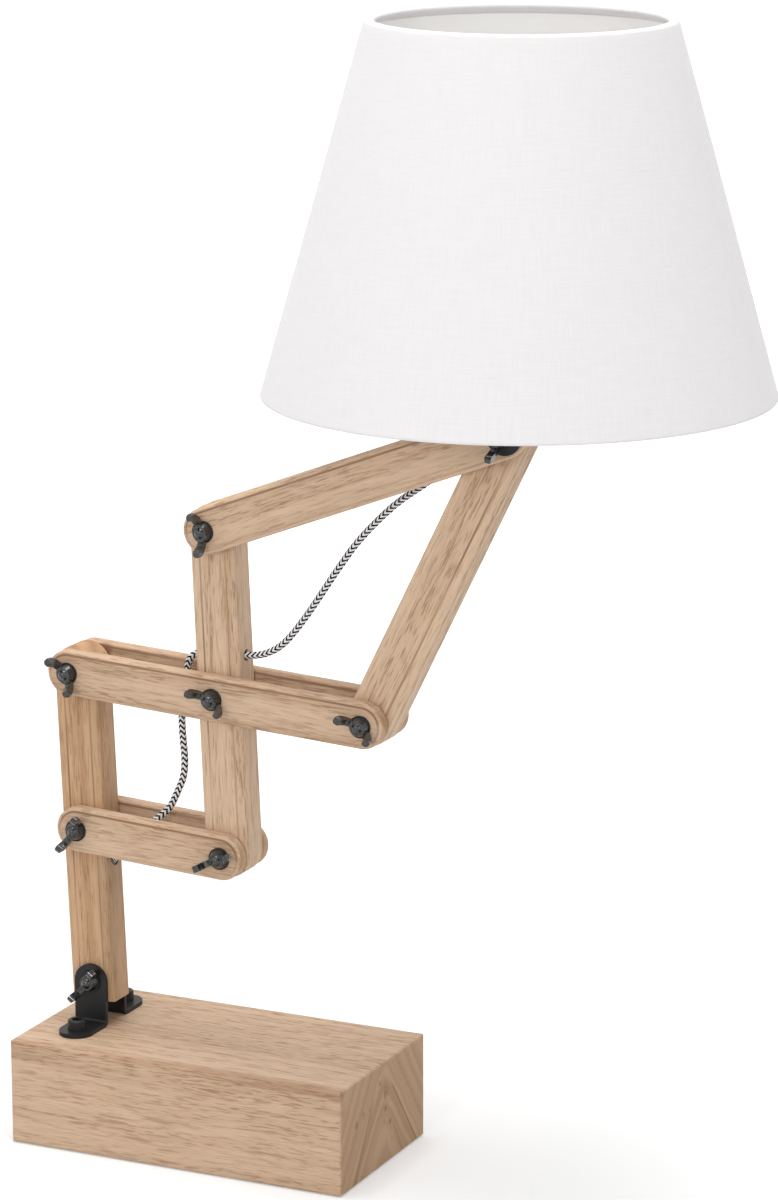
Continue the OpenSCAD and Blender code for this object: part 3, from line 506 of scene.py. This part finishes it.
bulb_glass = finish_of("bulb_glass", (236, 235, 230), (224, 223, 218), size=1.5 * MM, gloss=0.35, relief=0.02)
lining = finish_of("lining", (251, 250, 249), (246, 244, 242), size=1.2 * MM, spread=0.5, gloss=0.6, relief=0.05)

finishes = {
    black_paint: ["bracket_front", "bracket_rear", "bracket_screws", "stirrup", "shade_spider", "shade_low_wire",
                  "base_washers", "lower_link_washers", "cross_link_washers", "top_link_washers"],
    nut_paint: ["nut_base", "nut_low_left", "nut_cross_left", "nut_low_right", "nut_cross_mid", "nut_cross_right",
                "nut_top_left", "nut_head", "base_bolt", "lower_link_bolts", "cross_link_bolts", "top_link_bolts"],
    white_paint: ["shade_top_wire"],
    brass: ["base_inserts", "nipple", "nipple_nut", "holder_contacts", "bulb_cap"],
    pin_metal: ["plug_pins"],
    black_plastic: ["holder_cap", "holder_body", "holder_ring", "switch_base", "switch_cover", "switch_reliefs",
                    "switch_rocker", "plug_shell", "coil_tie"],
    porcelain: ["holder_insert"],
    bulb_glass: ["bulb_globe"],
    lining: ["shade_lining"],
}
for material, names in finishes.items():
    for name in names:
        wear(nodes[name], material)


# Cord: the same routes as the part's source, tied to the same pivots

CORD_D = 4 * MM
CORD_LIE = CORD_D / 2 + 1.1 * MM
BASE_BACK = 54.5 * MM
BASE_TOP = 61.4 * MM
RELIEF = 20 * MM
SWITCH_X = -60 * MM
SWITCH_L = 60 * MM
SWITCH_Y = BASE_BACK + 20 * MM
SWITCH_Z = 7.5 * MM
PLUG_Z = 7 * MM
PLUG_OFF = 40 * MM
BRAID_PITCH = 3.1 * MM

# The posts' cord holes over and under a bolt, and half a post's width, in millimetres
HOLE_RISE = 22
HOLE_DROP = 20.5
POST_HALF = 13.5
# How steeply the cord goes over the top links' edge, in degrees
JOIN_TURN = 36


def at(x, y, z):
    """A step in millimetres."""
    return Vector((x, y, z)) * MM


def between(a, b, share):
    return a + (b - a) * share


def spline(points, i, t):
    """A point of the smooth curve between one point of a route and the next."""
    last = len(points) - 1
    a, b, c, d = (points[max(i - 1, 0)], points[i], points[min(i + 1, last)], points[min(i + 2, last)])
    return 0.5 * (2 * b + (c - a) * t + (2 * a - 5 * b + 4 * c - d) * t * t + (3 * b - a - 3 * c + d) * t ** 3)


def smooth(points, steps):
    line = [spline(points, i, j / steps) for i in range(len(points) - 1) for j in range(steps)]
    return line + [points[-1]]


def stretch(start, way_out, points, end, way_in):
    """A free stretch of cord that leaves and arrives straight."""
    inner = [start + CORD_D * way_out, *points, end - CORD_D * way_in]
    return [start, *smooth(inner, max(3, round(32 / len(inner)))), end]


post_side = Vector((post_dir.z, 0, -post_dir.x))
top_up = Vector((-top_dir.z, 0, top_dir.x))
top_span = top_length / MM


def on_top(s, h):
    """A point along the top links, and above their middle line."""
    return top_left + (s * top_dir + h * top_up) * MM


mid_hole = cross_mid + HOLE_RISE * MM * post_dir
low_hole = low_left - HOLE_DROP * MM * post_dir
split = cross_mid - 26.3 * MM * link_dir - at(0, 0, 8.7)
turn = split + at(-10.7, 0, -64)
low_in = low_hole + POST_HALF * MM * post_side
low_out = low_hole + (1.6 * post_side - 9 * post_dir + 9.5 * BACK) * MM
entry = head_bolt + at(-37.5, 0, 37)
join = on_top(top_span - 56, -10)
hole_way = (low_out - low_in).normalized()
split_way = Vector((-2, 0, -11)).normalized()
join_way = math.cos(math.radians(JOIN_TURN)) * top_dir + math.sin(math.radians(JOIN_TURN)) * top_up


def beside(side, rise):
    """A point beside the middle post's cord hole."""
    return mid_hole + side * MM * post_side + at(0, 0, rise)


def below(x, z):
    """A point under the place where the cord leaves the cross links."""
    return split + at(x, 0, z)


def behind(x, y, z):
    """A point at the back, off the lower post and the block's back."""
    return Vector((base_bolt.x, BASE_BACK, 0)) + at(x, y, z)


head_route = stretch(join, join_way, [
    on_top(top_span - 48, -3.5), on_top(top_span - 43.5, 6), entry + at(-8, 0, -35), entry + at(-12, 0, -24),
    entry + at(-13, 0, -13), entry + at(-11.3, 0, -6.5), entry + at(-6.5, 0, -1.75),
], entry + CORD_D * ALONG, ALONG)
upper_route = stretch(mid_hole, post_side, [
    beside(14, 0), beside(25, 1.5), beside(37, 8.5), beside(51, 25), beside(70, 52), beside(84, 70),
    between(beside(98, 85), on_top(top_span - 76, -17), 0.5),
], join, join_way)
mid_route = stretch(mid_hole, -post_side, [
    beside(-13, 0), mid_hole + at(-18.2, 0, -1.9), mid_hole + at(-21.7, 0, -5.3), mid_hole + at(-23.3, 0, -10.6),
    mid_hole + at(-24.2, 0, -19.6),
], split, split_way)
low_route = stretch(split, split_way, [
    below(-2, -11), below(-1.3, -24), below(-0.5, -35), below(-1.6, -45), below(-5.4, -54), turn,
    between(turn, low_in, 0.25) - at(0, 2.2, 0), between(turn, low_in, 0.5) - at(0, 5, 0),
    low_in - 12 * MM * hole_way, low_in,
], low_out, hole_way)
lead_route = stretch(low_out, hole_way, [
    low_out + at(-10, 12.5, -10.5), behind(-17, -16.5, low_left.z / MM - 58), behind(-23, 3, base_bolt.z / MM + 2),
    behind(-26, 12, BASE_TOP / MM - 8), behind(-26, 16, 29), behind(-22, 18, 14),
    Vector((SWITCH_X - RELIEF - 9 * MM, SWITCH_Y, 8.2 * MM)), Vector((SWITCH_X - RELIEF, SWITCH_Y, SWITCH_Z)),
    Vector((SWITCH_X - RELIEF / 2, SWITCH_Y, SWITCH_Z)),
], Vector((SWITCH_X + CORD_D, SWITCH_Y, SWITCH_Z)), ALONG)


def coil_route():
    """Out of the switch, three turns in, half a turn up, three turns out on top, and into the plug."""
    turns, step, r_in, per_turn = 3, CORD_D + 1 * MM, 16.5 * MM, 24
    r_out = r_in + turns * step
    centre = Vector((SWITCH_X + SWITCH_L + RELIEF + 18 * MM, SWITCH_Y + r_out, CORD_LIE))
    down, half = per_turn * turns, per_turn // 2
    loops = []
    for k in range(2 * down + half + 1):
        inward = min(k, down) / per_turn * step
        outward = max(0, k - down - half) / per_turn * step
        angle = math.radians(-90 + 360 * k / per_turn)
        rise = step * min(1, max(0, (k - down) / half))
        r = r_out - inward + outward
        loops.append(centre + Vector((r * math.cos(angle), r * math.sin(angle), rise)))
    out = Vector((SWITCH_X + SWITCH_L, SWITCH_Y, SWITCH_Z))
    fall = CORD_LIE - SWITCH_Z
    end = loops[-1]
    plug_x = centre.x - PLUG_OFF
    first = [out - CORD_D * ALONG, out, out + RELIEF * ALONG]
    first += [out + at(26, 0, 0) + 0.3 * fall * UP, out + at(32, 0, 0) + 0.9 * fall * UP]
    last = [end - at(10, 0, 0), end - at(20, 0, 0.6)]
    last += [Vector((plug_x + d * MM, end.y, PLUG_Z)) for d in (6, 0, -4)]
    return first + loops + last


def surface(name, verts, faces, places):
    """A smooth mesh with a place on the cloth for every corner."""
    mesh = bpy.data.meshes.new(name)
    mesh.from_pydata([tuple(v) for v in verts], [], faces)
    layer = mesh.uv_layers.new(name="place")
    flat = [c for face in places for corner in face for c in corner]
    layer.data.foreach_set("uv", flat)
    mesh.polygons.foreach_set("use_smooth", [True] * len(mesh.polygons))
    mesh.validate()
    obj = bpy.data.objects.new(name, mesh)
    scene.collection.objects.link(obj)
    return obj


def tube(name, path, side, around):
    """A round cord along a path, with its turn and its length on the surface for the braid."""
    verts, run, runs = [], 0.0, []
    last = len(path) - 1
    for i, point in enumerate(path):
        if i:
            run += (point - path[i - 1]).length
        runs.append(run / BRAID_PITCH)
        way = (path[min(i + 1, last)] - path[max(i - 1, 0)]).normalized()
        side = (side - side.dot(way) * way).normalized()
        other = way.cross(side)
        for j in range(around):
            a = 2 * math.pi * j / around
            verts.append(point + CORD_D / 2 * (math.cos(a) * side + math.sin(a) * other))
    faces, turns = [], []
    for i in range(last):
        for j in range(around):
            k = (j + 1) % around
            faces.append((i * around + j, i * around + k, (i + 1) * around + k, (i + 1) * around + j))
            turns.append([(j / around, runs[i]), ((j + 1) / around, runs[i]),
                          ((j + 1) / around, runs[i + 1]), (j / around, runs[i + 1])])
    for ring, order in ((0, -1), (last, 1)):
        faces.append([ring * around + j for j in range(around)][::order])
        turns.append([(0.5, runs[ring])] * around)
    return surface(name, verts, faces, turns)


def braid_cloth():
    """Black and white yarns plaited into a zig-zag round the cord, with painted shade in the furrows between the yarns.
    """
    zigzags, steepness, yarns = 3.0, 1.5, 3.0
    material, tree, shader = new_material("cord_braid")
    place = axes_of(tree, lay(tree, "ShaderNodeTexCoord").outputs["UV"])
    fold = calc(tree, "PINGPONG", times(tree, place[0], zigzags), 0.5)
    slant = times_plus(tree, fold, steepness, place[1])
    dark = ease(tree, calc(tree, "PINGPONG", slant, 0.5), 0.225, 0.275)
    yarn = calc(tree, "PINGPONG", times(tree, slant, yarns), 0.5)
    tone = blended(tree, dark, tint(240, 240, 241), tint(18, 18, 20))
    # Painted shade: the colour darkens in the furrows between the yarns
    painted_furrow_shade = ease(tree, yarn, 0.0, 0.25, 0.85, 1.0)
    tone = blended(tree, 1.0, tone, grey(tree, painted_furrow_shade), "MULTIPLY")
    tree.links.new(tone, shader.inputs["Base Color"])
    tree.links.new(ease(tree, yarn, 0.0, 0.5, 0.95, 0.75), shader.inputs["Roughness"])
    shader.inputs["Specular IOR Level"].default_value = 0.15
    bumped(tree, shader, yarn, 0.6, 0.3 * MM)
    return material


braid = braid_cloth()


def cord_piece(name, node, path, side, around=16):
    """A braided cord in place of its plain solid."""
    piece = tube(name, path, side, around)
    wear(piece, braid)
    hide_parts(node)
    return piece


# Route, the side that the braid starts on, the two bodies that the stretch joins, and what is at its far end
bends = {
    "head": (head_route, BACK, "top_links", "lamp_head", "object"),
    "upper": (upper_route, BACK, "middle_post", "top_links", "object"),
    "mid": (mid_route, BACK, "middle_post", "cross_links", "object"),
    "low": (low_route, BACK, "cross_links", "lower_post", "object"),
    "lead": (lead_route, UP, "lower_post", "base", "fitting"),
}
for stretch_name, (route, side, near, far, far_end) in bends.items():
    piece = cord_piece("braided_cord_" + stretch_name, "cord_" + stretch_name, route, side)
    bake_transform(piece)
coil_path = coil_route()
coil = cord_piece("braided_cord_coil", "cord_coil", coil_path, UP, 12)
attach(coil, "base")


# Shade cloth, with its heights and radii in millimetres

SHADE_X = head_bolt.x + 2.5 * MM
RIM_Z = head_bolt.z / MM + 19.5
SHADE_H = 198
R_LOW = 137
R_TOP = 81.5
CLOTH_T = 0.8
CLOTH_STEPS = 168
SEAM_AT = math.radians(101)
SEAM_W = 9.0
SEAM_R = 100
SEAM_RISE = 0.45
MEAN_R = 0.108


def weave_group():
    """Plain weave: warp and weft threads with uneven slubs."""
    tree, given, gives = new_group("Plain weave", [
        ("Place", "Vector", None), ("Thread", "Float", 0.6 * MM), ("Light", "Color", None), ("Shadow", "Color", None),
        ("Slubs", "Float", 0.5),
    ], [("Color", "Color"), ("Height", "Float")])
    axes = axes_of(tree, given["Place"])
    warp = calc(tree, "PINGPONG", calc(tree, "DIVIDE", axes[0], given["Thread"]), 0.5)
    weft = calc(tree, "PINGPONG", calc(tree, "DIVIDE", axes[1], given["Thread"]), 0.5)
    across = cloud(tree, stretched(tree, given["Place"], (60, 1100, 0)), 2.0, 2.0)
    down = cloud(tree, stretched(tree, given["Place"], (1100, 60, 0)), 6.0, 2.0)
    slub = times(tree, calc(tree, "ADD", across, down), 0.5)
    thread = calc(tree, "ADD", warp, weft)
    tone = times_plus(tree, ease(tree, slub, 0.35, 0.65), given["Slubs"], times(tree, thread, 0.35))
    tree.links.new(blended(tree, tone, given["Shadow"], given["Light"]), gives["Color"])
    tree.links.new(times_plus(tree, slub, 0.8, thread), gives["Height"])
    return tree


weave = weave_group()


def cloth(name, thread, light, shadow, slubs, relief, glow=0.0):
    """A woven or felted cloth; glow is how much light goes through it."""
    material, tree, shader = new_material(name)
    here = lay(tree, "ShaderNodeTexCoord").outputs["UV"]
    out = placed(tree, weave, Place=here, Thread=thread, Light=tint(*light), Shadow=tint(*shadow), Slubs=slubs)
    tree.links.new(out["Color"], shader.inputs["Base Color"])
    shader.inputs["Roughness"].default_value = 0.95
    shader.inputs["Specular IOR Level"].default_value = 0.1
    shader.inputs["Sheen Weight"].default_value = 0.1
    shader.inputs["Subsurface Weight"].default_value = glow
    shader.inputs["Subsurface Radius"].default_value = (1.0, 1.0, 1.0)
    shader.inputs["Subsurface Scale"].default_value = 2 * MM
    bumped(tree, shader, out["Height"], relief, 0.2 * MM)
    return material


def cone_r(h):
    """The cone's outer radius at a height over its lower rim."""
    return R_LOW + (R_TOP - R_LOW) * h / SHADE_H


def round_wire(r, z, size, start, stop, steps):
    """Points of the cloth where it turns round a rim wire."""
    angles = [math.radians(start + (stop - start) * i / steps) for i in range(steps + 1)]
    return [(r + size * math.cos(a), z + size * math.sin(a)) for a in angles]


def shade_outline():
    """Cut through the cloth: up the outside, over the top wire, back down between, round the lower wire."""
    wire_top = (R_TOP - 3.1, SHADE_H - 2)
    wire_low = (cone_r(2) - 3.3, 2)
    outer_r, inner_r = 2.05, 1.62
    outside = [(cone_r(h), h) for h in (1.4, 3, 6, 12, 30, 60, 90, 120, 150, 175, 188, 194, SHADE_H - 1.5)]
    over = [(R_TOP, SHADE_H - 0.4), (R_TOP - 0.8, SHADE_H), (R_TOP - 1.8, SHADE_H + 0.12)]
    over += round_wire(*wire_top, outer_r, 75, 190, 8)
    hem_in = [(-4.1, -3.9), (-1.1, -5.3), (0.05, -6), (0.4, -5.9), (-0.7, -4.8), (-3.6, -3.4)]
    hem_in = [(R_TOP + r, SHADE_H + h) for r, h in hem_in]
    under = round_wire(*wire_top, inner_r, 190, 75, 6)
    inside = [(R_TOP - 1.5, SHADE_H - 0.22), (R_TOP - 0.7, SHADE_H - 0.4)]
    inside += [(cone_r(h) - CLOTH_T, h) for h in (190, 150, 100, 50, 10, 0.7)]
    back = [(cone_r(0.2) - 1.6, 0.18)]
    low_under = round_wire(*wire_low, inner_r, -60, -185, 6)
    low_hem = [(cone_r(5) - 3.9, 4.4), (cone_r(6.5) - 2.0, 6.2), (cone_r(7.3) - 1.45, 7.2)]
    low_hem += [(cone_r(7) - 1.75, 7.5), (cone_r(6.4) - 2.5, 6.6), (cone_r(5) - 4.4, 4.7)]
    low_over = round_wire(*wire_low, outer_r, -185, -60, 8)
    foot = [(cone_r(0) - 1.2, -0.15), (cone_r(0.2) - 0.35, 0.15), (cone_r(0.6), 0.6)]
    return outside + over + hem_in + under + inside + back + low_under + low_hem + low_over + foot


def shade_cloth():
    """The outline turned round the axis, slightly uneven, with a raised seam at the back."""
    outline = shade_outline()
    half, ramp, room = SEAM_W / 2 / SEAM_R, 0.003, 0.004
    turns = [2 * math.pi * i / CLOTH_STEPS for i in range(CLOTH_STEPS)]
    turns = sorted([t for t in turns if abs(t - SEAM_AT) > half + room]
                   + [SEAM_AT - half - ramp, SEAM_AT - half, SEAM_AT, SEAM_AT + half, SEAM_AT + half + ramp])
    count, last = len(outline), len(turns)
    run = [0.0]
    for a, b in zip(outline, outline[1:] + outline[:1]):
        run.append(run[-1] + math.dist(a, b) * MM)
    verts = []
    for t in turns:
        raised = SEAM_RISE if abs(t - SEAM_AT) <= half + 1e-6 else 0.0
        for r, z in outline:
            pull = 0.10 * math.sin(3 * t + 0.7) + 0.07 * math.sin(7 * t + 2.1 + z * 0.02)
            swell = pull * math.sin(math.pi * min(1, max(0, z / SHADE_H)))
            outer = raised if r > cone_r(z) - 0.5 or z > SHADE_H - 0.1 or z < 0 else 0.0
            reach = (r + swell + outer) * MM
            lift = (0.3 * outer if z > SHADE_H - 0.2 else 0.0) * MM
            verts.append((SHADE_X + reach * math.cos(t), reach * math.sin(t), (RIM_Z + z) * MM + lift))
    faces, places = [], []
    for i in range(last):
        k = (i + 1) % last
        around = [turns[i] * MEAN_R, (turns[k] if k else 2 * math.pi + turns[0]) * MEAN_R]
        for j in range(count):
            m = (j + 1) % count
            faces.append((i * count + j, k * count + j, k * count + m, i * count + m))
            places.append([(around[0], run[j]), (around[1], run[j]), (around[1], run[j + 1]), (around[0], run[j + 1])])
    return surface("shade_cloth", verts, faces, places)


shade = shade_cloth()
wear(shade, cloth("shade_cloth", 0.5 * MM, (239, 236, 237), (229, 226, 226), slubs=0.4, relief=0.15, glow=0.5))
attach(shade, "lamp_head")
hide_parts("shade_fabric")


# Felt under the block


def felt_sheet():
    """A felt sheet with round corners and softened edges, in place of its plain solid."""
    low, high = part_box("base_felt")
    length, depth, corner, soft, steps = high.x - low.x, high.y - low.y, 4 * MM, 0.3 * MM, 6
    edge = []
    for cx, cy, first in ((1, 1, 0), (-1, 1, 90), (-1, -1, 180), (1, -1, 270)):
        for i in range(steps + 1):
            a = math.radians(first + 90 * i / steps)
            edge.append(((length / 2 - corner) * cx + corner * math.cos(a),
                         (depth / 2 - corner) * cy + corner * math.sin(a)))
    layers = ((0.99, low.z), (1.0, low.z + soft), (1.0, high.z - soft), (0.995, high.z))
    count = len(edge)
    verts = [(x * s, y * s, z) for s, z in layers for x, y in edge]
    faces = [tuple(range(count))[::-1], tuple((len(layers) - 1) * count + i for i in range(count))]
    for level in range(len(layers) - 1):
        for i in range(count):
            k = (i + 1) % count
            faces.append((level * count + i, level * count + k, (level + 1) * count + k, (level + 1) * count + i))
    places = [[(verts[v][0] + verts[v][2], verts[v][1]) for v in face] for face in faces]
    piece = surface("felt_sheet", verts, faces, places)
    wear(piece, cloth("felt", 0.9 * MM, (52, 49, 46), (30, 28, 26), slubs=0.8, relief=0.5))
    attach(piece, "base")
    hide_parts("base_felt")


felt_sheet()


# Floor and light

AMBIENT = 0.53
FLOOR_TONE = 0.68
WHITE = (1, 1, 1, 1)


def in_sight(tree):
    """One where the camera sees it, or a mirror or glass shows it, and nothing for other light."""
    seen = lay(tree, "ShaderNodeLightPath").outputs
    shown = calc(tree, "MAXIMUM", seen["Is Glossy Ray"], seen["Is Transmission Ray"])
    return calc(tree, "MAXIMUM", seen["Is Camera Ray"], shown)


def white_floor():
    """A pale floor that keeps the shadow near the lamp and runs out to white."""
    mesh = bpy.data.meshes.new("floor")
    half = 8.0
    mesh.from_pydata([(-half, -half, 0), (half, -half, 0), (half, half, 0), (-half, half, 0)], [], [(0, 1, 2, 3)])
    obj = bpy.data.objects.new("floor", mesh)
    scene.collection.objects.link(obj)
    material, tree, shader = new_material("pale_floor")
    shader.inputs["Base Color"].default_value = (FLOOR_TONE, FLOOR_TONE, FLOOR_TONE, 1)
    shader.inputs["Roughness"].default_value = 1.0
    shader.inputs["Specular IOR Level"].default_value = 0.0
    shader.inputs["Emission Color"].default_value = WHITE
    away = span_of(tree, lay(tree, "ShaderNodeTexCoord").outputs["Object"])
    glow = ease(tree, away, 0.35, 1.5, 0.31, 0.75)
    tree.links.new(times(tree, in_sight(tree), glow), shader.inputs["Emission Strength"])
    wear(obj, material)


def white_room():
    """A white backdrop that lights the lamp evenly at a lower level."""
    world = bpy.data.worlds.new("white_room")
    scene.world = world
    world.use_nodes = True
    tree = world.node_tree
    sky = tree.nodes["Background"]
    sky.inputs["Color"].default_value = WHITE
    strength = times_plus(tree, in_sight(tree), 1.0 - AMBIENT, AMBIENT)
    tree.links.new(strength, sky.inputs["Strength"])


def soft_box(name, place, size, watts, aim=(0.04, 0, 0.32)):
    """A square lamp that faces the middle of the arm."""
    data = bpy.data.lights.new(name, "AREA")
    data.shape = "SQUARE"
    data.size = size
    data.energy = watts
    obj = bpy.data.objects.new(name, data)
    obj.location = place
    obj.rotation_euler = (Vector(aim) - Vector(place)).to_track_quat("-Z", "Y").to_euler()
    scene.collection.objects.link(obj)


white_floor()
white_room()
soft_box("left_box", (-1.5, -1.9, 1.7), size=1.8, watts=8)
soft_box("right_box", (1.9, -1.1, 1.3), size=1.6, watts=9)
soft_box("top_box", (0.1, 0.0, 2.6), size=1.6, watts=50)
soft_box("front_lamp", (0.2, -2.7, 1.2), size=0.3, watts=13)
scene.view_settings.view_transform = "Standard"
